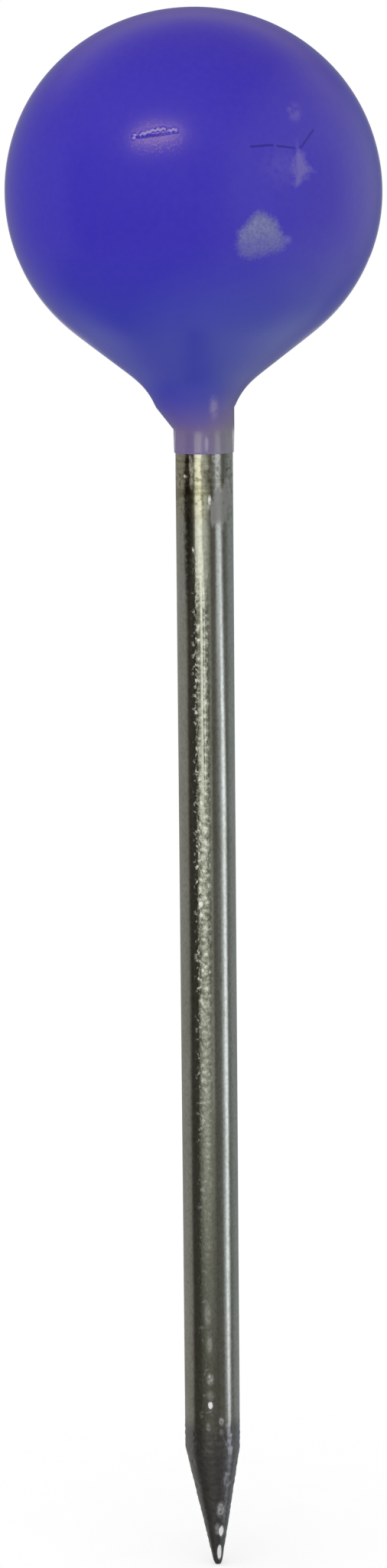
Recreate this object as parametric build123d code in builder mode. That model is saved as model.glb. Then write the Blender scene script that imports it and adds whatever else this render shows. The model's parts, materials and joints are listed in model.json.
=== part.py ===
from build123d import *
import os
from math import cos, radians, sin, tan

# Ball-headed pin: a plastic head moulded round one end of a straight steel needle.
# Millimetres, +Z up. The origin is on the needle's axis, where the bare steel leaves the head.

# Needle
needle_diameter = 0.62
bare_length = 12.65
point_length = 1.42
tip_diameter = 0.085
tip_rounding = 0.03
tip_offset = 0.05

# Needle inside the head: a slight waist in the neck, a pinched length that the plastic grips,
# and a plain stub. The depths and the spread are measured from the needle's own surface.
waist_depth = 0.01
pinch_depth = 0.09
pinch_spread = 0.10
stub_length = 0.70

# Head
ball_diameter = 4.0
ball_flattening = 0.17
crown_angle = 45
needle_offset = 0.09
flare_angle = 52.75
flare_radius = 0.70
neck_lean = 20
slope_length = 0.23
collar_length = 0.25
collar_wall = 0.012
collar_draft = 0.006

# Heights and radii that follow from the sizes above
needle_radius = needle_diameter / 2
waist_radius = needle_radius - waist_depth
tip_z = -bare_length
shoulder_z = tip_z + point_length

half_width = ball_diameter / 2
half_height = half_width - ball_flattening / 2
foot_radius = needle_radius + collar_wall
collar_radius = foot_radius + collar_draft
neck_radius = collar_radius + needle_offset
neck_z = collar_length + slope_length

# The ball's side is one round arc and its crown another.
# They meet smoothly at the crown's angle above the middle.
rise = sin(radians(crown_angle))
reach = cos(radians(crown_angle))
share = (1 - reach) / rise
crown_radius = (half_width - share * half_height) / (reach - share * (1 - rise))
side_radius = (half_height - crown_radius * (1 - rise)) / rise
side_centre = half_width - side_radius

# The flare leaves the ball where the ball's own side has the flare's slope.
# Its hollow end meets the neck while it still leans away from the needle.
flare = radians(flare_angle)
lean = radians(neck_lean)
leave_radius = side_centre + side_radius * cos(flare)
hollow_centre = neck_radius + flare_radius * cos(lean)
hollow_base = neck_z - flare_radius * sin(lean)
hollow_radius = hollow_centre - flare_radius * cos(flare)
hollow_z = hollow_base + flare_radius * sin(flare)
leave_z = hollow_z + (leave_radius - hollow_radius) / tan(flare)
ball_z = leave_z + side_radius * sin(flare)
ball_top = ball_z + half_height

# The needle ends at the middle of the ball.
needle_top = ball_z
grip_top = needle_top - stub_length
grip_middle = (neck_z + grip_top) / 2

head_axis = Axis((-needle_offset, 0, 0), (0, 0, 1))
head_plane = Plane(origin=(-needle_offset, 0, 0), x_dir=(1, 0, 0), z_dir=(0, -1, 0))

# The needle: straight wire up to the collar, the waist, the pinched length with its cut end,
# and a ground point whose tip is a little off centre.
with BuildPart() as needle:
    with BuildSketch(Plane.XZ):
        with BuildLine():
            Polyline(
                (0, shoulder_z),
                (needle_radius, shoulder_z),
                (needle_radius, 0),
                (waist_radius, neck_z),
                (0, neck_z),
                close=True,
            )
        make_face()
    revolve(axis=Axis.Z)

    with BuildSketch(Plane.XY.offset(neck_z)):
        Circle(waist_radius)
    with BuildSketch(Plane.XY.offset(grip_middle)):
        Ellipse(needle_radius + pinch_spread, needle_radius - pinch_depth)
    with BuildSketch(Plane.XY.offset(grip_top)):
        Circle(needle_radius)
    loft()

    with BuildSketch(Plane.XY.offset(grip_top)):
        Circle(needle_radius)
    extrude(amount=stub_length)

    with BuildSketch(Plane.XY.offset(tip_z)):
        with Locations((tip_offset, 0)):
            Circle(tip_diameter / 2)
    with BuildSketch(Plane.XY.offset(shoulder_z)):
        Circle(needle_radius)
    loft(ruled=True)
    fillet(needle.edges().sort_by(Axis.Z)[0], radius=tip_rounding)

# The head: a slightly flattened ball that flares in to a neck, a slope from the neck across to the needle,
# and a thin collar that runs down the steel. The needle stands off the ball's centre line.
with BuildPart() as ball_head:
    with BuildSketch(head_plane):
        with BuildLine():
            crown = CenterArc((0, ball_top - crown_radius), crown_radius, 90, crown_angle - 90)
            side = CenterArc((side_centre, ball_z), side_radius, crown_angle, -crown_angle - flare_angle)
            hollow = CenterArc(
                (hollow_centre, hollow_base), flare_radius, 180 - flare_angle, flare_angle - neck_lean
            )
            Line(side @ 1, hollow @ 0)
            Line(hollow @ 1, (0, neck_z))
            Line((0, neck_z), crown @ 0)
        make_face()
    revolve(axis=head_axis)

    with BuildSketch(Plane.XY.offset(collar_length)):
        Circle(collar_radius)
    with BuildSketch(Plane.XY.offset(neck_z)):
        with Locations((-needle_offset, 0)):
            Circle(neck_radius)
    loft(ruled=True)

    with BuildSketch(Plane.XZ):
        with BuildLine():
            Polyline(
                (0, 0),
                (foot_radius, 0),
                (collar_radius, collar_length),
                (0, collar_length),
                close=True,
            )
        make_face()
    revolve(axis=Axis.Z)

    add(needle.part, mode=Mode.SUBTRACT)

needle.part.label = "needle"
ball_head.part.label = "ball_head"

os.makedirs("parts", exist_ok=True)
export_step(needle.part, "parts/needle.step")
export_step(ball_head.part, "parts/ball_head.step")
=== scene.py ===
import json
from math import cos, pi, radians, sin

import bpy
import numpy as np
from mathutils import Matrix, Vector, noise


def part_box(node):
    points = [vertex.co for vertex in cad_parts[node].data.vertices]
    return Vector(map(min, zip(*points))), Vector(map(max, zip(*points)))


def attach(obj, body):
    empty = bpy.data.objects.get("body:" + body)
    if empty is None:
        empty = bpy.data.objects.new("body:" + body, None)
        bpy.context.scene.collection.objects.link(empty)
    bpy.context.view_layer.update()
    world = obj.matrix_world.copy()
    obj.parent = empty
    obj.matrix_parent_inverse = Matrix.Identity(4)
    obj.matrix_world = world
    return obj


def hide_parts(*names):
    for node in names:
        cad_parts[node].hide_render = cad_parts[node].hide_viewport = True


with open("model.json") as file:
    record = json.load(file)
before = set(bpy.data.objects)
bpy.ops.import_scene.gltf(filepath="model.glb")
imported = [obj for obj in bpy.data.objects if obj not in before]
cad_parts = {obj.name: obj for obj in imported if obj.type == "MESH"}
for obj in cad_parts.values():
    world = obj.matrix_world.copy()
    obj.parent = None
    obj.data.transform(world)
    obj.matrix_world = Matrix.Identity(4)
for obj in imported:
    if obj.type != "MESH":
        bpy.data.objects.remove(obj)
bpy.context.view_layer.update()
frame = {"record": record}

# A ball-headed pin: a plastic head moulded round one end of a steel needle.
# Sizes are in millimetres and objects in metres. The photograph looks along +Y and a little down.
MM = 0.001

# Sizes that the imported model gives
pin_mount = frame["record"]["mounts"][0]["dims"]
head_low, head_high = (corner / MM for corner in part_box("ball_head"))
needle_low, needle_high = (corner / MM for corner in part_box("needle"))
needle_radius = pin_mount["r_mm"]
shoulder_z = -pin_mount["length_mm"]
tip_z = needle_low.z
ball_radius = (head_high.y - head_low.y) / 2
ball_x = (head_low.x + head_high.x) / 2
ball_z = needle_high.z
ball_top = head_high.z

# Head
crown_angle = 45
flare_angle = 52.75
flare_radius = 0.70
flare_easing = 0.4
neck_lean = 20
slope_length = 0.23
collar_length = 0.25
collar_wall = 0.012
collar_draft = 0.006
foot_rounding = 0.008
cavity_clearance = 0.003

# Unevenness of the moulding: height and size of its waves
moulding_waves = [(0.010, 1.6), (0.0008, 0.35)]

# Needle: the waist, the pinched length and the stub are inside the head
waist_depth = 0.01
pinch_depth = 0.09
pinch_spread = 0.10
stub_length = 0.70
tip_radius = 0.0425
tip_rounding = 0.03
tip_offset = 0.05

# Marks on the front of the head have their places as (x, z) from the ball's centre.
# A groove, which gets shallower to the right of an x. Its colour is painted darker as shade in it.
groove_path = [(-0.562, 0.534), (-0.38, 0.55), (-0.24, 0.568), (-0.141, 0.58)]
groove_width = 0.011
groove_depth = 0.009
groove_fade_from = -0.40
groove_fade = 0.20
groove_fade_share = 0.7

# Wavy raised lips above the groove, and lumps at its left end. They are also painted pale as a highlight on
# them.
lip_paths = [
    [(-0.536, 0.559), (-0.477, 0.574), (-0.401, 0.599), (-0.27, 0.616)],
    [(-0.245, 0.598), (-0.16, 0.606)],
]
lip_width = 0.028
lip_height = 0.0045
lip_wave = 0.007
lip_pitch = 0.052
lumps = [(-0.594, 0.530), (-0.584, 0.556)]
lump_size = 0.028

# Cracks
crack_paths = [
    [(0.577, 0.436), (0.770, 0.451), (0.800, 0.449)],
    [(0.845, 0.442), (1.019, 0.421)],
    [(1.082, 0.421), (1.147, 0.506), (1.212, 0.598)],
]
crack_width = 0.016
crack_depth = 0.006

# A scuff, which gets fainter below a z, and a rubbed spot: corners and width of the soft edge
scuff_corners = [
    (0.63, -0.23), (0.68, -0.22), (0.815, -0.30), (0.905, -0.49), (0.90, -0.58),
    (0.67, -0.64), (0.548, -0.66), (0.47, -0.63), (0.44, -0.57), (0.46, -0.41),
]
scuff_edge = 0.14
scuff_fade_from = -0.33
scuff_fade = 0.33
scuff_fade_share = 0.5
rub_corners = [(1.051, 0.444), (1.206, 0.186), (1.016, 0.019), (1.002, 0.277)]
rub_edge = 0.11

# Speckles round the groove, raised as bumps and painted as highlight specks, and a painted highlight on the
# neck: centre x and z, half width, half height
halo = (-0.36, 0.52, 0.46, 0.24)
neck_glint = (0.196, -2.24, 0.068, 0.18)

# Pale dabs on the ball: x, z, size, strength
dabs = [
    (0.979, 0.797, 0.05, 0.80),
    (1.035, 0.755, 0.10, 0.60),
    (1.04, 0.835, 0.08, 0.30),
    (0.945, -0.489, 0.065, 0.80),
    (0.90, 0.25, 0.30, 0.26),
]

# Oval marks on the needle: turn from the front in degrees, z, half width, half height, strength
# Painted highlights: small glints, painted pale and not metallic
glint_spots = [
    (5, 0.11, 0.020, 0.080, 1.0),
    (-29, -0.030, 0.020, 0.026, 0.45),
    (-41, -0.235, 0.030, 0.022, 0.50),
    (10, -0.49, 0.020, 0.060, 0.62),
    (7, -0.56, 0.016, 0.035, 0.45),
    (-24, -1.03, 0.015, 0.040, 0.60),
    (3, -1.28, 0.013, 0.035, 0.55),
    (-12, -3.77, 0.018, 0.026, 0.70),
    (-16, -4.72, 0.018, 0.024, 0.70),
    (-15, -4.89, 0.024, 0.032, 1.0),
    (-14, -5.01, 0.020, 0.026, 0.85),
    (-12, -5.63, 0.018, 0.024, 0.70),
    (-4, -10.635, 0.026, 0.044, 1.0),
    (40, -11.02, 0.026, 0.024, 0.40),
    (34, -11.96, 0.022, 0.018, 0.30),
    (26, -12.21, 0.030, 0.066, 1.0),
    (18, -12.48, 0.026, 0.092, 1.0),
]

# Soft painted highlights under the collar, above the point and on it, painted pale and not metallic
soft_glints = [
    (21, -0.05, 0.034, 0.06, 0.36),
    (-27, -0.14, 0.024, 0.09, 0.40),
    (4, -0.14, 0.020, 0.06, 0.22),
    (20, -0.22, 0.036, 0.16, 0.14),
    (-27, -0.30, 0.020, 0.07, 0.28),
    (-8, -9.58, 0.034, 0.12, 0.20),
    (-5, -9.92, 0.030, 0.10, 0.22),
    (-4, -10.33, 0.034, 0.060, 0.42),
    (-4, -10.52, 0.040, 0.050, 0.14),
    (19, -10.83, 0.026, 0.045, 0.34),
    (-9, -10.89, 0.022, 0.040, 0.20),
    (18, -10.96, 0.018, 0.035, 0.20),
    (41, -11.20, 0.024, 0.050, 0.26),
    (30, -11.56, 0.022, 0.060, 0.20),
    (46, -11.62, 0.034, 0.024, 0.18),
    (20, -11.93, 0.048, 0.090, 0.34),
    (8, -12.18, 0.034, 0.070, 0.24),
]

# Dull grey patches under the collar
dull_patches = [
    (50, -0.43, 0.060, 0.16, 1.0),
    (27, -0.50, 0.060, 0.15, 1.0),
    (37, -0.56, 0.070, 0.20, 1.0),
    (21, -0.62, 0.055, 0.14, 1.0),
]

# Brown stains under the collar and further down the wire
stains = [
    (3, -0.22, 0.035, 0.11, 0.40),
    (-38, -0.75, 0.045, 0.92, 0.62),
    (-27, -0.86, 0.022, 0.16, 0.25),
    (-20, -2.10, 0.018, 0.50, 0.40),
    (-16, -2.25, 0.026, 0.85, 0.40),
    (-19, -3.40, 0.016, 0.55, 0.40),
]

# How far an oval or a stripe reaches, in its half sizes. It fades out over the last one.
soft_reach = 1.5

# Bare wire begins under the collar, and its first length is bitten
bare_fade = 0.05
grip_mark_length = 0.85
grip_fade = 0.4

# A band of pits along the needle's front: turn of its middle and half its spread, in degrees, its reach
# and the length over which it sets in. Lower down it gets weaker: from which z, over what length
# and by what share.
worn_turn = -12
worn_spread = 13
worn_reach = 1.6
worn_set_in = 1
worn_fades = [(-5.4, 2.4, 0.6), (-7.5, 1.5, 0.5)]

# A streak in that band that is still clean: turn and half spread, in degrees, the z where it ends,
# the length over which it does so, and how clean it is
clean_turn = -8.5
clean_spread = 4
clean_end = -4.2
clean_fade = 1
clean_share = 0.85

# Where the grinding of the point begins, the height over which it sets in, and the length at the tip
# over which its marks die out
ground_top = -10.78
ground_fade = 0.24
tip_fade = 0.25

# Roughness of the needle: depth, size and stretch. Pits and bites are where noise is under a level,
# and pits are deeper in the worn band and on the ground point.
draw_line_depth = 0.0004
draw_line_size = 0.05
draw_line_stretch = (1, 1, 0.03)
grinding_depth = 0.005
grinding_size = 0.10
grinding_stretch = (0.35, 0.35, 2.2)
pit_depth = 0.001
worn_pit_depth = 0.0015
ground_pit_depth = 0.016
pit_size = 0.09
pit_level = -0.25
bite_depth = 0.004
bite_size = 0.11
bite_stretch = (1, 1, 0.45)
bite_level = -0.05

# Camera, fitted to the photograph
image_height = 2048
focal_pixels = 4200
sensor_height = 24
camera_elevation = radians(10)
camera_roll = radians(0.54)
camera_distance = 35.14
camera_aim = Vector((-0.147, 0, -3.613))
camera_near = 1
camera_far = 10000

# Heights and radii that follow from the sizes above
ball_centre = (ball_x, 0, ball_z)
ball_half_height = ball_top - ball_z
foot_radius = needle_radius + collar_wall
collar_radius = foot_radius + collar_draft
needle_offset = -ball_x
neck_radius = collar_radius + needle_offset
neck_z = collar_length + slope_length
waist_radius = needle_radius - waist_depth
grip_top = ball_z - stub_length
point_length = shoulder_z - tip_z

# Rings and skins
# A ring is a row (half width, half depth, z, centre x). A skin runs through rings from the top down
# and is closed at both ends by one point.


def spaced(runs, end):
    """Values in runs of (start, count), each evenly spaced up to the next one's start, without the end."""
    stops = [start for start, _ in runs[1:]] + [end]
    parts = [np.linspace(start, stop, count, endpoint=False) for (start, count), stop in zip(runs, stops)]
    return np.concatenate(parts)


def arc(centre, radius, degrees):
    """Points (r, z) on an arc at the angles given."""
    turn = np.radians(degrees)
    return np.column_stack((centre[0] + radius * np.cos(turn), centre[1] + radius * np.sin(turn)))


def run(start, end, steps):
    """Points (r, z) on a straight line, or values, evenly spaced and without the last one."""
    return np.linspace(start, end, steps, endpoint=False)


def eased(points, reach, spacing):
    """A profile, evenly spaced, with its changes of bend spread over a length.
    Half that length is lost at each end."""
    along = np.append(0, np.cumsum(np.linalg.norm(np.diff(points, axis=0), axis=1)))
    even = np.arange(0, along[-1], spacing)
    profile = np.column_stack([np.interp(even, along, column) for column in points.T])
    weights = np.hanning(2 * round(reach / spacing / 2) + 3)[1:-1]
    weights /= weights.sum()
    return np.column_stack([np.convolve(column, weights, "valid") for column in profile.T])


def round_rings(points, centre=0.0):
    """Circular rings through points (r, z) round one centre line."""
    r, z = points.T
    return np.column_stack((r, r, z, np.full(len(r), centre)))


def skin_points(rings, turns):
    """The points of every ring, as an array (ring, turn, xyz). Turn 0 is the front."""
    half_x, half_y, z, centre = (column[:, None] for column in rings.T)
    x = centre + half_x * np.sin(turns)
    y = -half_y * np.cos(turns)
    return np.stack((x, y, np.broadcast_to(z, x.shape)), axis=-1)


def outward(turns):
    """Level vectors of length 1 that point away from the axis at each turn."""
    return np.stack((np.sin(turns), -np.cos(turns), 0 * turns), axis=-1)


def skin(name, points, top, bottom, masks):
    """A closed mesh through the rings of points, from the top point to the bottom one."""
    rows, columns = points.shape[:2]
    here = np.arange(rows * columns).reshape(rows, columns)
    beside = np.roll(here, -1, axis=1)
    quads = np.stack((here[:-1], here[1:], beside[1:], beside[:-1]), axis=-1).reshape(-1, 4)
    top_index, bottom_index = rows * columns, rows * columns + 1
    faces = quads.tolist()
    faces += [(top_index, a, b) for a, b in zip(here[0].tolist(), beside[0].tolist())]
    faces += [(bottom_index, b, a) for a, b in zip(here[-1].tolist(), beside[-1].tolist())]
    corners = np.vstack((points.reshape(-1, 3), top, bottom)) * MM
    mesh = bpy.data.meshes.new(name)
    mesh.from_pydata(corners.tolist(), [], faces)
    mesh.shade_smooth()
    for mask_name, values in masks.items():
        layer = mesh.attributes.new(mask_name, "FLOAT", "POINT")
        layer.data.foreach_set("value", np.append(values.ravel(), (0, 0)).astype(np.float32))
    piece = bpy.data.objects.new(name, mesh)
    bpy.context.scene.collection.objects.link(piece)
    return piece


# Masks and noise on a skin


def smooth(value):
    """0 to 1 with a soft start and end."""
    t = np.clip(value, 0, 1)
    return t * t * (3 - 2 * t)


def ripple(points, size, stretch=(1, 1, 1)):
    """Smooth noise from -1 to 1 at each point, with bumps of about that size."""
    flat = (points * np.array(stretch)).reshape(-1, 3) / size
    return np.array([noise.noise(Vector(p)) for p in flat.tolist()]).reshape(points.shape[:-1])


def line(spots, path, width):
    """A soft mask along a path of straight runs, at (x, z) spots."""
    distance = np.full(len(spots), np.inf)
    for start, end in zip(path[:-1], path[1:]):
        step = np.subtract(end, start)
        share = np.clip((spots - start) @ step / (step @ step), 0, 1)
        distance = np.minimum(distance, np.linalg.norm(spots - start - share[:, None] * step, axis=1))
    return smooth(1 - distance / width)


def wavy_line(spots, path, width, wave, pitch):
    """A soft mask along a path that goes from left to right, and swings above and below it."""
    x, z = spots.T
    path_x, path_z = np.transpose(path)
    swing = wave * np.sin(2 * np.pi * x / pitch)
    beside = (x > path_x[0]) & (x < path_x[-1])
    return smooth(1 - np.abs(z - np.interp(x, path_x, path_z) - swing) / width) * beside


def patch(spots, corners, edge):
    """A mask inside corners listed clockwise, with a soft edge of that width."""
    depth = np.full(len(spots), np.inf)
    for start, end in zip(corners, corners[1:] + corners[:1]):
        step = np.subtract(end, start)
        inward = np.array((step[1], -step[0])) / np.hypot(*step)
        depth = np.minimum(depth, (spots - start) @ inward)
    return np.clip(0.5 + depth / edge, 0, 1)


def dab(spots, place, size):
    """A soft mask round a place, with one half size or a half width and a half height."""
    return smooth(1 - np.linalg.norm((spots - np.array(place)) / size, axis=1))


# Needle
# Runs of rows are (start, count). They are closer together where the marks are: under the collar,
# half way down and at the point.
needle_columns = 180
stub_rows = 3
grip_rows = 16
waist_rows = 24
wire_rows = [(0, 60), (-0.85, 48), (-3.6, 100), (-5.8, 76), (-10.2, 72)]
point_rows = 98
rounding_rows = 5
needle_turns = np.radians(run(-180, 180, needle_columns))


def hidden_needle_rings(clearance=0.0):
    """Rings of the needle inside the head, from its cut end down to the collar's foot."""
    stub = run((needle_radius, ball_z), (needle_radius, grip_top), stub_rows)
    grip_z = run(grip_top, neck_z, grip_rows)
    share = (grip_z - neck_z) / (grip_top - neck_z)
    squeeze = np.sin(np.pi * share) ** 2
    plain = waist_radius + waist_depth * share
    half_width, half_depth = plain + pinch_spread * squeeze, plain - pinch_depth * squeeze
    grip = np.column_stack((half_width, half_depth, grip_z, 0 * grip_z))
    waist = run((waist_radius, neck_z), (needle_radius, 0), waist_rows)
    rings = np.vstack((round_rings(stub), grip, round_rings(waist)))
    rings[:, :2] += clearance
    return rings


def bare_needle_rings():
    """Rings of the bare wire and its ground point."""
    wire_z = spaced(wire_rows, shoulder_z)
    wire = round_rings(np.column_stack((np.full(len(wire_z), needle_radius), wire_z)))
    point_z = run(shoulder_z, tip_z + tip_rounding, point_rows)
    share = (shoulder_z - point_z) / point_length
    half = needle_radius + (tip_radius - needle_radius) * share
    point = np.column_stack((half, half, point_z, tip_offset * share))
    edge_centre = (tip_radius - tip_rounding, tip_z + tip_rounding)
    edge = arc(edge_centre, tip_rounding, run(0, -90, rounding_rows))
    return np.vstack((wire, point, round_rings(edge, tip_offset)))


def ovals(rings, places):
    """A mask of soft ovals on the needle's skin."""
    half, _, z, _ = (column[:, None] for column in rings.T)
    cover = 0
    for turn, height, half_width, half_height, strength in places:
        across = half * (needle_turns - radians(turn)) / half_width
        upright = (z - height) / half_height
        cover = np.maximum(cover, strength * smooth(soft_reach - np.hypot(across, upright)))
    return cover


def stripe(turn, spread, reach):
    """A soft mask of a stripe that runs along the needle, at every turn of its skin."""
    return smooth(reach - np.abs(needle_turns - radians(turn)) / radians(spread))


def make_needle():
    rings = np.vstack((hidden_needle_rings(), bare_needle_rings()))
    points = skin_points(rings, needle_turns)
    z = points[..., 2]
    bare = smooth(-z / bare_fade)
    ground = smooth((ground_top - z) / ground_fade)
    grip = smooth((z + grip_mark_length) / grip_fade) * bare
    worn = stripe(worn_turn, worn_spread, worn_reach) * smooth((-z - grip_mark_length) / worn_set_in)
    worn = worn * (1 - ground)
    for top, length, share in worn_fades:
        worn = worn * (1 - share * smooth((top - z) / length))
    clean = stripe(clean_turn, clean_spread, soft_reach) * smooth((z - clean_end) / clean_fade)
    worn = worn * (1 - clean_share * clean)

    # Draw lines run along the wire, grinding marks run round the point, and the wire is pitted
    draw_lines = ripple(points, draw_line_size, draw_line_stretch)
    grinding = ripple(points, grinding_size, grinding_stretch)
    pits = np.minimum(ripple(points, pit_size) - pit_level, 0)
    bites = np.minimum(ripple(points, bite_size, bite_stretch) - bite_level, 0)
    drawn = draw_line_depth * draw_lines + (pit_depth + worn_pit_depth * worn) * pits
    cut = grinding_depth * grinding + ground_pit_depth * pits
    swell = drawn * bare * (1 - ground)
    swell += cut * ground * smooth((z - tip_z) / tip_fade)
    swell += bite_depth * bites * grip
    points = points + swell[..., None] * outward(needle_turns)

    masks = {
        "ground": ground,
        "grip": grip,
        "worn": worn,
        "bright": ovals(rings, glint_spots),
        "pale": ovals(rings, soft_glints),
        "dull": ovals(rings, dull_patches),
        "stain": ovals(rings, stains) * bare,
    }
    top, bottom = (0, 0, ball_z), (tip_offset, 0, tip_z)
    return skin("needle_wire", points, top, bottom, masks)


# Head
# Runs of columns and rows are (start in degrees, count), and closer together where the marks are.
head_columns = [(-21, 72), (-2, 14), (11, 90), (42, 150)]
crown_rows = 28
side_rows = [(crown_angle, 9), (27, 12), (20.5, 44), (11.5, 56)]
slope_rows = 12
collar_rows = 8

# The flare's rows begin at an angle below the ball's middle and are evenly spaced. Its two arcs
# have points of their own before they are eased.
flare_rows_from = -22
flare_row = 0.033
flare_side_points = 80
hollow_points = 60


def head_rings():
    """Rings of the head's outside, from the crown to the collar's foot."""
    rise, reach = sin(radians(crown_angle)), cos(radians(crown_angle))
    share = (1 - reach) / rise
    crown_radius = (ball_radius - share * ball_half_height) / (reach - share * (1 - rise))
    side_radius = (ball_half_height - crown_radius * (1 - rise)) / rise
    side_centre = (ball_radius - side_radius, ball_z)
    crown_centre = (0, ball_top - crown_radius)
    crown = arc(crown_centre, crown_radius, run(90, crown_angle, crown_rows)[1:])
    side = arc(side_centre, side_radius, spaced(side_rows, flare_rows_from))

    # The flare: the rest of the ball's side, a straight flank and a hollow that leans in to the neck
    lean = radians(neck_lean)
    extra = flare_easing / 2
    first_turn = flare_rows_from + np.degrees(extra / side_radius)
    below = arc(side_centre, side_radius, np.linspace(first_turn, -flare_angle, flare_side_points))
    hollow_centre = (neck_radius + flare_radius * cos(lean), neck_z - flare_radius * sin(lean))
    hollow_turns = np.linspace(180 - flare_angle, 180 - neck_lean, hollow_points)
    hollow = arc(hollow_centre, flare_radius, hollow_turns)
    past_neck = hollow[-1] - extra * np.array((sin(lean), cos(lean)))
    flare = eased(np.vstack((below, hollow, past_neck)), flare_easing, flare_row)
    turned = round_rings(np.vstack((crown, side, flare)), ball_x)

    share = run(0, 1, slope_rows)
    slope_half = neck_radius + (collar_radius - neck_radius) * share
    slope_z = neck_z - slope_length * share
    slope = np.column_stack((slope_half, slope_half, slope_z, ball_x * (1 - share)))
    collar = run((collar_radius, collar_length), (foot_radius, foot_rounding), collar_rows)
    foot_centre = (foot_radius - foot_rounding, foot_rounding)
    foot = arc(foot_centre, foot_rounding, run(0, -90, rounding_rows))
    return np.vstack((turned, slope, round_rings(collar), round_rings(foot)))


def head_marks(points):
    """Masks of the marks on the head, and how far they lift or sink its surface."""
    flat = points.reshape(-1, 3) - np.array(ball_centre)
    front = flat[:, 1] < 0
    spots = flat[:, [0, 2]]
    x, z = spots.T
    groove = line(spots, groove_path, groove_width)
    groove *= 1 - groove_fade_share * smooth((x - groove_fade_from) / groove_fade)
    lips = [wavy_line(spots, path, lip_width, lip_wave, lip_pitch) for path in lip_paths]
    lips += [dab(spots, place, lump_size) for place in lumps]
    lip = np.max(lips, axis=0)
    crack = np.max([line(spots, path, crack_width) for path in crack_paths], axis=0)
    pale = [strength * dab(spots, place, size) for *place, size, strength in dabs]
    swell = lip_height * lip - groove_depth * groove - crack_depth * crack
    masks = {
        "groove": groove,
        "lip": lip,
        "crack": crack,
        "scuff": patch(spots, scuff_corners, scuff_edge),
        "fainter": 1 - scuff_fade_share * smooth((scuff_fade_from - z) / scuff_fade),
        "rub": patch(spots, rub_corners, rub_edge),
        "dab": np.max(pale, axis=0),
        # a painted highlight on the neck
        "glint": dab(spots, neck_glint[:2], neck_glint[2:]),
        "halo": dab(spots, halo[:2], halo[2:]),
    }
    shape = points.shape[:-1]
    masks = {name: (values * front).reshape(shape) for name, values in masks.items()}
    return masks, (swell * front).reshape(shape)


def make_head():
    turns = np.radians(spaced(head_columns, head_columns[0][0] + 360))
    outside = skin_points(head_rings(), turns)
    cavity = skin_points(hidden_needle_rings(cavity_clearance)[::-1], turns)
    masks, swell = head_marks(outside)

    # The moulding is a little uneven, less so towards the collar
    z = outside[..., 2]
    ease = smooth((z - collar_length) / (ball_z - collar_length))
    swell = swell + sum(height * ripple(outside, size) for height, size in moulding_waves) * ease
    lift = np.clip((z - ball_z) / ball_half_height, -1, 1)
    away = outward(turns) * np.sqrt(1 - lift**2)[..., None]
    away[..., 2] = lift
    outside = outside + swell[..., None] * away

    inner = np.zeros(cavity.shape[:-1])
    masks = {name: np.vstack((values, inner)) for name, values in masks.items()}
    masks["cavity"] = np.vstack((np.zeros(outside.shape[:-1]), inner + 1))
    points = np.vstack((outside, cavity))
    top, bottom = (ball_x, 0, ball_top), (0, 0, ball_z + cavity_clearance)
    return skin("head_ball", points, top, bottom, masks)


# Shader nodes


def srgb(red, green, blue):
    """A colour given as 0 to 255 on the screen, as the linear colour that shaders take."""
    steps = (value / 255 for value in (red, green, blue))
    return tuple(s / 12.92 if s <= 0.04045 else ((s + 0.055) / 1.055) ** 2.4 for s in steps) + (1,)


def node(tree, kind, inputs=None, **settings):
    """A new node with its settings, and its inputs set to a value or linked to a socket."""
    made = tree.nodes.new(kind)
    for name, value in settings.items():
        setattr(made, name, value)
    for key, value in (inputs or {}).items():
        if isinstance(value, bpy.types.NodeSocket):
            tree.links.new(value, made.inputs[key])
        else:
            made.inputs[key].default_value = value
    return made


def maths(tree, operation, *values):
    return node(tree, "ShaderNodeMath", dict(enumerate(values)), operation=operation).outputs[0]


def times(tree, first, second):
    return maths(tree, "MULTIPLY", first, second)


def larger(tree, first, second):
    return maths(tree, "MAXIMUM", first, second)


def rest(tree, value):
    """What a value leaves of 1."""
    return maths(tree, "SUBTRACT", 1.0, value)


def weighted(tree, base, *parts):
    """A base plus parts, each a value and its weight."""
    total = base
    for value, weight in parts:
        total = maths(tree, "MULTIPLY_ADD", value, weight, total)
    return total


def fade(tree, value, start, end, low=0.0, high=1.0):
    """A soft step from low, where the value is start, to high, where it is end."""
    inputs = {0: value, 1: start, 2: end, 3: low, 4: high}
    return node(tree, "ShaderNodeMapRange", inputs, interpolation_type="SMOOTHSTEP").outputs[0]


def span(tree, value, limits):
    """A soft step from 0 to 1 between two places on the object, in millimetres."""
    start, end = limits
    return fade(tree, value, start * MM, end * MM)


def blend(tree, factor, first, second):
    """A mix of two colours."""
    return node(tree, "ShaderNodeMix", {0: factor, 6: first, 7: second}, data_type="RGBA").outputs[2]


def coat(tree, colour, covers, marks):
    """A colour with marks laid over it in turn, each in its own colour and strength where its cover is."""
    for name, (tone, strength) in marks.items():
        colour = blend(tree, times(tree, covers[name], strength), colour, tone)
    return colour


def grain(tree, place, size, stretch=(1, 1, 1), detail=2.0):
    """Noise from 0 to 1 with spots of about that size in millimetres."""
    scale = tuple(s / (size * MM) for s in stretch)
    mapped = node(tree, "ShaderNodeMapping", {"Vector": place, "Scale": scale}).outputs[0]
    return node(tree, "ShaderNodeTexNoise", {"Vector": mapped, "Scale": 1.0, "Detail": detail}).outputs[0]


def mask(tree, name):
    return node(tree, "ShaderNodeAttribute", attribute_name=name).outputs["Fac"]


def patchy(tree, name, grains, start, end, low=0.0, high=1.0):
    """A mask made patchy by a soft step in noise."""
    return times(tree, mask(tree, name), fade(tree, grains, start, end, low, high))


def ragged(tree, name, grains, roughness, start, end):
    """A mask with its edge broken up by noise. It stays 0 where the mask is 0."""
    plain = mask(tree, name)
    torn = weighted(tree, -roughness / 2, (grains, roughness))
    whole = fade(tree, plain, start=0.0, end=0.1)
    return times(tree, fade(tree, maths(tree, "ADD", plain, torn), start, end), whole)


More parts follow.
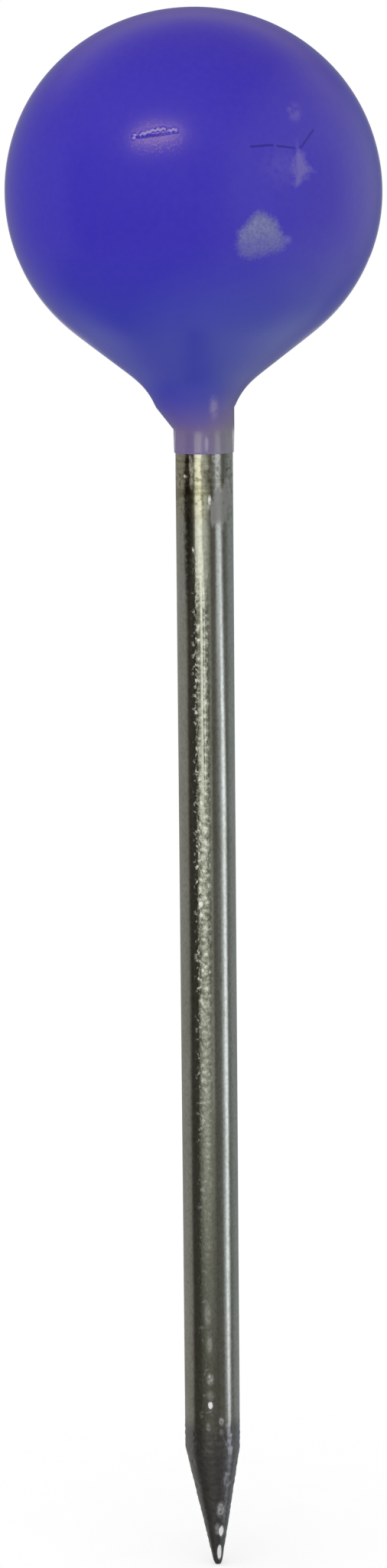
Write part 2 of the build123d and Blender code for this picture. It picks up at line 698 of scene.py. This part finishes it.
def bump(tree, height, depth):
    """A bump that is depth millimetres high where height goes from 0 to 1."""
    inputs = {"Height": height, "Strength": 1.0, "Distance": depth * MM}
    return node(tree, "ShaderNodeBump", inputs).outputs[0]


def new_material(name):
    """A new material, its nodes, its shader and the place on the object in metres."""
    material = bpy.data.materials.new(name)
    material.use_nodes = True
    tree = material.node_tree
    place = node(tree, "ShaderNodeTexCoord").outputs["Object"]
    return material, tree, tree.nodes["Principled BSDF"], place


# Head plastic
violet = srgb(53, 39, 187)
violet_cloud = srgb(60, 46, 191)
lower_reflection_tone = srgb(56, 60, 184)
thin_left = srgb(132, 110, 142)
thin_right = srgb(127, 114, 148)
film_left = srgb(145, 126, 185)
film_right = srgb(164, 160, 184)
mottle_tone = srgb(75, 63, 181)
mottle_strength = 0.16
scuff_dark = srgb(98, 103, 164)
scuff_pale = srgb(140, 144, 184)
scuff_strength = 0.85

# Other marks in the order that they lie over each other: colour and strength. The groove's colour is
# painted shade, and the colours of the specks, the lip and the glint are painted highlights.
plastic_marks = {
    "rub": (srgb(126, 118, 188), 0.58),
    "dab": (srgb(126, 116, 192), 0.70),
    "specks": (srgb(146, 110, 158), 0.50),
    "crack": (srgb(18, 10, 146), 1.0),
    "groove": (srgb(48, 33, 165), 0.60),
    "lip": (srgb(174, 158, 206), 0.62),
    "glint": (srgb(150, 138, 184), 0.75),
}

# Heights between which the plastic changes towards the collar, and places from left to right
# The lower tone is painted light reflected from below: greyer and greener towards the bottom
lower_reflection_heights = (2.5, 1.1)
matt_heights = (1.5, 0.9)
thin_heights = (0.95, 0.0)
thin_sides = (0.0, 0.30)
film_heights = (0.32, 0.16)
film_sides = (-0.05, 0.30)
clear_heights = (0.32, 0.18)
side_clear_heights = (0.55, 0.15)
side_clear_sides = (0.0, 0.32)
open_heights = (0.75, 0.55)

# How much higher the thin plastic reaches for each millimetre to the right
thin_slant = 0.6

# How clear the film is, how much clearer it is on the right, and the shine
film_clearness = 0.40
side_clearness = 0.12
plastic_roughness = 0.21
cloud_roughness = 0.06
matt_roughness = 0.14
scuff_roughness = 0.30
peel_depth = 0.0012
plastic_ior = 1.49


def head_material():
    """Violet-blue plastic with its marks, some of them painted highlights and shade, and light from below
    painted on its lower part. Towards the collar's foot it is a film that shows the steel.
    """
    material, tree, shader, place = new_material("head_plastic")
    across, _, height = node(tree, "ShaderNodeSeparateXYZ", {0: place}).outputs
    cloud = grain(tree, place, size=1.6)
    broad = grain(tree, place, size=0.22)
    mottle = grain(tree, place, size=0.07, detail=3.0)
    fine = grain(tree, place, size=0.03)

    colour = blend(tree, cloud, violet, violet_cloud)
    mottled = times(tree, fade(tree, mottle, start=0.3, end=0.7), mottle_strength)
    colour = blend(tree, mottled, colour, mottle_tone)
    # Painted reflection of light from below on the lower part
    colour = blend(tree, span(tree, height, lower_reflection_heights), colour, lower_reflection_tone)
    thin_height = weighted(tree, height, (larger(tree, across, 0.0), -thin_slant))
    thinner = span(tree, thin_height, thin_heights)
    thin_tone = blend(tree, span(tree, across, thin_sides), thin_left, thin_right)
    colour = blend(tree, times(tree, thinner, thinner), colour, thin_tone)
    film_tone = blend(tree, span(tree, across, film_sides), film_left, film_right)
    colour = blend(tree, span(tree, height, film_heights), colour, film_tone)

    scuff = ragged(tree, "scuff", fine, roughness=0.5, start=0.10, end=0.90)
    scuff_tone = blend(tree, fade(tree, fine, start=0.05, end=0.95), scuff_dark, scuff_pale)
    scuff_cover = times(tree, scuff, times(tree, mask(tree, "fainter"), scuff_strength))
    colour = blend(tree, scuff_cover, colour, scuff_tone)
    covers = {
        "rub": ragged(tree, "rub", mottle, roughness=1.2, start=0.15, end=1.10),
        "dab": patchy(tree, "dab", mottle, start=0.20, end=0.60),
        # specks painted in the highlight's colour as sparkle, and also raised by the bump
        "specks": patchy(tree, "halo", fine, start=0.50, end=0.72),
        "crack": mask(tree, "crack"),
        # the groove's colour is painted shade
        "groove": mask(tree, "groove"),
        # the lip's colour is a painted highlight
        "lip": ragged(tree, "lip", fine, roughness=1.3, start=0.05, end=0.80),
        # the glint on the neck is a painted highlight
        "glint": patchy(tree, "glint", mottle, start=0.15, end=0.60),
    }
    colour = coat(tree, colour, covers, plastic_marks)
    tree.links.new(colour, shader.inputs["Base Color"])

    matt = span(tree, height, matt_heights)
    rough = weighted(tree, plastic_roughness, (cloud, cloud_roughness), (matt, matt_roughness))
    rough = weighted(tree, rough, (scuff, scuff_roughness))
    tree.links.new(rough, shader.inputs["Roughness"])
    peel = weighted(tree, 0.0, (broad, 0.20), (mottle, 0.25), (fine, 0.15), (covers["specks"], 0.80))
    tree.links.new(bump(tree, peel, peel_depth), shader.inputs["Normal"])

    side = times(tree, span(tree, across, side_clear_sides), span(tree, height, side_clear_heights))
    film = span(tree, height, clear_heights)
    clear = weighted(tree, 0.0, (film, film_clearness), (side, side_clearness))

    # Low down the cavity's wall is clear, so that only the outer wall lies over the steel
    gone = times(tree, mask(tree, "cavity"), span(tree, height, open_heights))
    tree.links.new(rest(tree, larger(tree, clear, gone)), shader.inputs["Alpha"])
    shader.inputs["IOR"].default_value = plastic_ior
    return material


# Needle steel
steel_dark = (0.55, 0.56, 0.52, 1)
steel_pale = (0.71, 0.72, 0.68, 1)
cut_dark = (0.28, 0.28, 0.30, 1)
cut_pale = (0.48, 0.48, 0.51, 1)
stain_tone = (0.022, 0.018, 0.011, 1)
dull_dark = (0.15, 0.15, 0.14, 1)
dull_pale = (0.27, 0.27, 0.26, 1)
dull_strength = 0.92
# Painted highlights on the needle: their cool and warm colour, the sparkles' strength and their warmth in
# the worn band
glint_cool = (0.90, 0.91, 0.91, 1)
glint_warm = (0.88, 0.84, 0.62, 1)
sparkle_strength = 0.70
worn_glint_warmth = 0.4

# Marks in the order that they lie over each other: colour and strength
steel_marks = {
    "tarnish": ((0.42, 0.42, 0.35, 1), 0.35),
    "speckle": ((0.34, 0.34, 0.28, 1), 0.36),
    "yellowed": ((0.64, 0.60, 0.43, 1), 0.50),
    "pitted": ((0.20, 0.20, 0.13, 1), 0.65),
    "bitten": ((0.20, 0.18, 0.09, 1), 0.70),
    "scored": ((0.30, 0.28, 0.17, 1), 0.60),
}

# Places, from right to left, between which the steel under the collar turns yellow
yellow_sides = (0.12, -0.04)

# Shine, and how rugged the drawn, the pitted and the ground steel are
steel_roughness = 0.26
fleck_roughness = 0.12
ground_roughness = 0.08
brushing = 0.9
brushing_turn = 0.25
relief_depth = 0.011
drawn_ruggedness = 0.03
pitted_ruggedness = 0.97
ground_share = 0.6


def needle_material():
    """Drawn steel wire: streaked, pitted in front, bitten under the collar, ground dark at the point, with
    highlights painted on as pale glints.
    """
    material, tree, shader, place = new_material("needle_steel")
    cloud = grain(tree, place, size=0.35, stretch=(1, 1, 0.5))
    streak = grain(tree, place, size=0.05, stretch=(1, 1, 0.04), detail=3.0)
    wisp = grain(tree, place, size=0.05, stretch=(1, 1, 0.35), detail=3.0)
    ring = grain(tree, place, size=0.05, stretch=(0.1, 0.1, 1.0), detail=3.0)
    fleck = grain(tree, place, size=0.05)
    grit = grain(tree, place, size=0.03, stretch=(1, 1, 0.8), detail=3.0)
    across = node(tree, "ShaderNodeSeparateXYZ", {0: place}).outputs["X"]
    ground, worn = mask(tree, "ground"), mask(tree, "worn")

    yellowed = times(tree, mask(tree, "grip"), span(tree, across, yellow_sides))
    covers = {
        "tarnish": fade(tree, cloud, start=0.45, end=0.75),
        "speckle": fade(tree, grit, start=0.42, end=0.64),
        "yellowed": yellowed,
        "pitted": patchy(tree, "worn", fleck, start=0.48, end=0.64),
        "bitten": patchy(tree, "grip", fleck, start=0.50, end=0.70),
        "scored": patchy(tree, "grip", ring, start=0.50, end=0.64),
    }
    colour = coat(tree, blend(tree, streak, steel_dark, steel_pale), covers, steel_marks)
    colour = blend(tree, ground, colour, blend(tree, fleck, cut_dark, cut_pale))
    stain = patchy(tree, "stain", fleck, start=0.36, end=0.58, low=0.45, high=1.15)
    colour = blend(tree, stain, colour, stain_tone)
    dull = ragged(tree, "dull", wisp, roughness=1.8, start=0.05, end=1.15)
    dull = times(tree, dull, dull_strength)
    colour = blend(tree, dull, colour, blend(tree, wisp, dull_dark, dull_pale))

    # Painted highlights: sparkles in the worn band, glints and soft glints, pale and not metallic
    painted_sparkles = times(tree, patchy(tree, "worn", fleck, start=0.43, end=0.33), sparkle_strength)
    sharp_glints = ragged(tree, "bright", grit, roughness=0.9, start=0.12, end=0.85)
    # soft painted highlights
    pale = patchy(tree, "pale", grit, start=0.30, end=0.62, low=0.25, high=1.45)
    bright = larger(tree, larger(tree, sharp_glints, painted_sparkles), pale)
    # the painted highlights are warmer under the collar and in the worn band
    glint_warmth = larger(tree, yellowed, times(tree, worn, worn_glint_warmth))
    colour = blend(tree, bright, colour, blend(tree, glint_warmth, glint_cool, glint_warm))
    tree.links.new(colour, shader.inputs["Base Color"])
    tree.links.new(rest(tree, larger(tree, bright, dull)), shader.inputs["Metallic"])

    rough = weighted(tree, steel_roughness, (fleck, fleck_roughness), (ground, ground_roughness))
    tree.links.new(rough, shader.inputs["Roughness"])
    shader.inputs["Anisotropic"].default_value = brushing
    shader.inputs["Anisotropic Rotation"].default_value = brushing_turn
    tangent = node(tree, "ShaderNodeTangent", direction_type="RADIAL", axis="Z").outputs[0]
    tree.links.new(tangent, shader.inputs["Tangent"])
    uneven = larger(tree, worn, times(tree, ground, ground_share))
    rugged = weighted(tree, drawn_ruggedness, (uneven, pitted_ruggedness))
    grainy = weighted(tree, 0.0, (fleck, 0.6), (grit, 0.4))
    relief = weighted(tree, times(tree, grainy, rugged), (streak, drawn_ruggedness))
    tree.links.new(bump(tree, relief, relief_depth), shader.inputs["Normal"])
    return material


# Floor
floor_radius = 34
floor_step = 5
floor_rim = (0.45 * floor_radius, 0.95 * floor_radius)
floor_dark = (0.90, 0.90, 0.90, 1)
floor_pale = (0.94, 0.94, 0.94, 1)
floor_glow = 0.38
white = (1, 1, 1, 1)


def floor_material():
    """A white floor that lets the white surroundings through towards its rim."""
    material, tree, shader, place = new_material("floor_white")
    away = node(tree, "ShaderNodeVectorMath", {0: place}, operation="LENGTH").outputs["Value"]
    tone = blend(tree, grain(tree, place, size=0.4), floor_dark, floor_pale)
    tree.links.new(tone, shader.inputs["Base Color"])
    shader.inputs["Roughness"].default_value = 1.0
    shader.inputs["Specular IOR Level"].default_value = 0.0
    shader.inputs["Emission Color"].default_value = white
    seen = node(tree, "ShaderNodeLightPath").outputs["Is Camera Ray"]
    tree.links.new(times(tree, seen, floor_glow), shader.inputs["Emission Strength"])
    tree.links.new(rest(tree, span(tree, away, floor_rim)), shader.inputs["Alpha"])
    return material


def make_floor():
    turns = np.radians(np.arange(0, 360, floor_step))
    corners = [(floor_radius * MM * cos(t), floor_radius * MM * sin(t), 0) for t in turns]
    mesh = bpy.data.meshes.new("floor")
    mesh.from_pydata(corners, [], [list(range(len(corners)))])
    floor = bpy.data.objects.new("floor", mesh)
    floor.location.z = tip_z * MM
    floor.visible_glossy = False
    mesh.materials.append(floor_material())
    bpy.context.scene.collection.objects.link(floor)


# Lamps
# An azimuth is 0 on the camera's side and 90 on the right.
# Soft glows and a warm key that only the head reflects. Each glow is a stack of oval lamps,
# a millimetre apart, that fades to its edge, and the key is one lamp:
# azimuth, elevation, roll, distance of the nearest, sizes, radiance of each, colour
glows = {
    "side_glow": (82, 4, 0, 12, [(14, 12), (26, 20), (40, 30), (60, 42)], 0.165, (1.0, 0.98, 0.35)),
    "low_glow": (80, -66, 0, 10, [(10, 10), (18, 18), (27, 27)], 0.19, (0.78, 1.0, 0.10)),
    "front_glow": (28, -6, 0, 14, [(6, 17), (12, 26)], 0.13, (1.0, 0.95, 0.40)),
    "key": (-24, 34.5, 12, 60, [(30, 9.5)], 10, (1.0, 0.68, 0.10)),
}

# Strip lamps that only the needle reflects:
# azimuth, distance from the needle, width, top z, bottom z, radiance, colour
warm_light = (0.95, 1.0, 0.86)
cream_light = (1.0, 0.99, 0.88)
cool_light = (0.87, 0.93, 1.0)
strips = {
    "warm_long": (-15, 6, 2.6, -3.6, -8.8, 0.40, warm_light),
    "warm_upper": (-10, 6.2, 2.6, 2.0, -4.4, 0.15, warm_light),
    "warm_fade": (-18, 6.4, 5.6, 2.0, -9.2, 0.24, warm_light),
    "warm_line": (-16, 5.6, 1.3, -1.4, -5.4, 0.40, cream_light),
    "warm_top": (-25, 6, 2.8, 3.5, -1.7, 1.4, cream_light),
    "warm_wide": (-9, 6, 7.5, 2.0, -10.0, 0.13, warm_light),
    "warm_soft": (8, 6.8, 2.4, -1.5, -9.5, 0.30, warm_light),
    "warm_side": (5, 6.6, 1.8, -1.5, -5.0, 0.24, warm_light),
    "cool_upper": (54, 4, 1.6, 0.4, -2.3, 0.95, cool_light),
    "cool_middle": (66, 4.1, 0.9, -2.1, -3.9, 1.5, cool_light),
    "cool_lower": (73, 4, 1.0, -3.6, -12.5, 1.35, cool_light),
    "cool_soft": (66, 4.2, 1.7, -1.9, -12.6, 0.26, cool_light),
}


def make_lamp(name, aim, azimuth, elevation, distance, size, radiance, colour, shape="RECTANGLE"):
    """A soft box that faces a point of the pin."""
    turn, lift = radians(azimuth), radians(elevation)
    towards = Vector((sin(turn) * cos(lift), -cos(turn) * cos(lift), sin(lift)))
    data = bpy.data.lights.new(name, "AREA")
    data.shape = shape
    data.size, data.size_y = (side * MM for side in size)
    data.color = colour
    fill = pi / 4 if shape == "ELLIPSE" else 1
    data.energy = pi * radiance * fill * data.size * data.size_y
    lamp = bpy.data.objects.new(name, data)
    lamp.location = (Vector(aim) + distance * towards) * MM
    lamp.rotation_euler = towards.to_track_quat("Z", "Y").to_euler()
    lamp.visible_camera = False
    lamp.visible_diffuse = False
    bpy.context.scene.collection.objects.link(lamp)
    return lamp


def light_only(piece, lamps):
    """Lets lamps light one piece only."""
    group = bpy.data.collections.new(piece.name + "_lamps")
    group.objects.link(piece)
    for lamp in lamps:
        lamp.light_linking.receiver_collection = group


def make_lamps(head, needle):
    """Lamps that show as reflections: the key and the glows in the head, the strips in the needle."""
    head_lamps = []
    for name, (azimuth, elevation, roll, nearest, sizes, radiance, colour) in glows.items():
        for step, size in enumerate(sizes):
            place = (ball_centre, azimuth, elevation, nearest + step)
            lamp = make_lamp(f"{name}_{step}", *place, size, radiance, colour, "ELLIPSE")
            lamp.rotation_euler.rotate_axis("Z", radians(roll))
            head_lamps.append(lamp)
    light_only(head, head_lamps)
    needle_lamps = []
    for name, (azimuth, distance, width, top, bottom, radiance, colour) in strips.items():
        middle, size = (0, 0, (top + bottom) / 2), (width, top - bottom)
        needle_lamps.append(make_lamp(name, middle, azimuth, 0, distance, size, radiance, colour))
    light_only(needle, needle_lamps)


# Surroundings
# Light on matt surfaces: its level, how much stronger it is from one side, and that side
ambient = 0.66
ambient_lean = 0.73
ambient_from = Vector((-0.35, -0.93, 0.12)).normalized()

# The studio that shiny surfaces reflect: the colour in front, then other colours laid over it in turn.
# Each has spans over which it sets in: of azimuth and of the angle away from the camera's side, in degrees,
# and of height, from -1 straight below to 1 straight above.
room_front = (0.012, 0.0155, 0.008, 1)
room_ground = (0.10, 0.10, 0.095, 1)
rooms = {
    "side": ((0.105, 0.112, 0.098, 1), [("azimuth", 5, 45)]),
    "right": ((0.275, 0.30, 0.31, 1), [("azimuth", 84, 116)]),
    "left": ((0.31, 0.305, 0.285, 1), [("azimuth", -77, -88)]),
    "low_front": (room_ground, [("height", -0.38, -0.60), ("away", 170, 105)]),
    "table": (
        (0.56, 0.62, 0.44, 1),
        [("height", -0.40, -0.65), ("height", -0.92, -0.75), ("away", 105, 170)],
    ),
    "behind": (white, [("height", 0.20, 0.05), ("away", 165, 172)]),
    "below": (room_ground, [("height", -0.70, -0.94)]),
    "ceiling": ((0.34, 0.26, 0.20, 1), [("height", 0.20, 0.60)]),
    "window": (
        (0.58, 0.50, 0.24, 1),
        [("height", 0.40, 0.60), ("height", 0.95, 0.60), ("away", 100, 140)],
    ),
}


def make_world():
    """White where the camera looks and straight behind the pin, even light on matt surfaces,
    and a studio that shiny ones reflect: dark on the camera's side and paler all round."""
    world = bpy.data.worlds.new("studio")
    bpy.context.scene.world = world
    world.use_nodes = True
    world.cycles.sampling_method = "NONE"
    tree = world.node_tree
    tree.nodes.clear()
    direction = node(tree, "ShaderNodeTexCoord").outputs["Generated"]
    x, y, height = node(tree, "ShaderNodeSeparateXYZ", {0: direction}).outputs
    turn = maths(tree, "ARCTAN2", x, times(tree, y, -1.0))
    azimuth = maths(tree, "DEGREES", turn)
    measures = {"azimuth": azimuth, "away": maths(tree, "ABSOLUTE", azimuth), "height": height}

    studio = room_front
    for colour, spans in rooms.values():
        cover = 1.0
        for measure, start, end in spans:
            cover = times(tree, cover, fade(tree, measures[measure], start, end))
        studio = blend(tree, cover, studio, colour)

    rays = node(tree, "ShaderNodeLightPath").outputs
    dot = {0: direction, 1: ambient_from}
    facing = node(tree, "ShaderNodeVectorMath", dot, operation="DOT_PRODUCT").outputs["Value"]
    level = weighted(tree, ambient, (facing, ambient * ambient_lean))
    even = node(tree, "ShaderNodeBackground", {"Color": white, "Strength": level}).outputs[0]
    shiny = node(tree, "ShaderNodeBackground", {"Color": studio, "Strength": 1.0}).outputs[0]
    plain = node(tree, "ShaderNodeBackground", {"Color": white, "Strength": 1.0}).outputs[0]
    lit = node(tree, "ShaderNodeMixShader", {0: rays["Is Glossy Ray"], 1: even, 2: shiny}).outputs[0]
    seen = larger(tree, rays["Is Camera Ray"], rays["Is Transmission Ray"])
    final = node(tree, "ShaderNodeMixShader", {0: seen, 1: lit, 2: plain}).outputs[0]
    node(tree, "ShaderNodeOutputWorld", {"Surface": final})


def make_camera():
    data = bpy.data.cameras.new("camera")
    data.sensor_fit = "VERTICAL"
    data.sensor_height = sensor_height
    data.lens = focal_pixels * sensor_height / image_height
    data.clip_start = camera_near * MM
    data.clip_end = camera_far * MM
    camera = bpy.data.objects.new("camera", data)
    back = Vector((0, -cos(camera_elevation), sin(camera_elevation)))
    level_up = Vector((0, sin(camera_elevation), cos(camera_elevation)))
    level_right = Vector((1, 0, 0))
    right = level_right * cos(camera_roll) - level_up * sin(camera_roll)
    up = level_right * sin(camera_roll) + level_up * cos(camera_roll)
    turn = Matrix((right, up, back)).transposed().to_4x4()
    camera.matrix_world = Matrix.Translation((camera_aim + camera_distance * back) * MM) @ turn
    bpy.context.scene.collection.objects.link(camera)
    bpy.context.scene.camera = camera


# The pin

needle = make_needle()
needle.data.materials.append(needle_material())
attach(needle, "root")
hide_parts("needle")

head = make_head()
head.data.materials.append(head_material())
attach(head, "root")
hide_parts("ball_head")

make_floor()
make_lamps(head, needle)
make_world()
make_camera()
bpy.context.scene.view_settings.view_transform = "Standard"
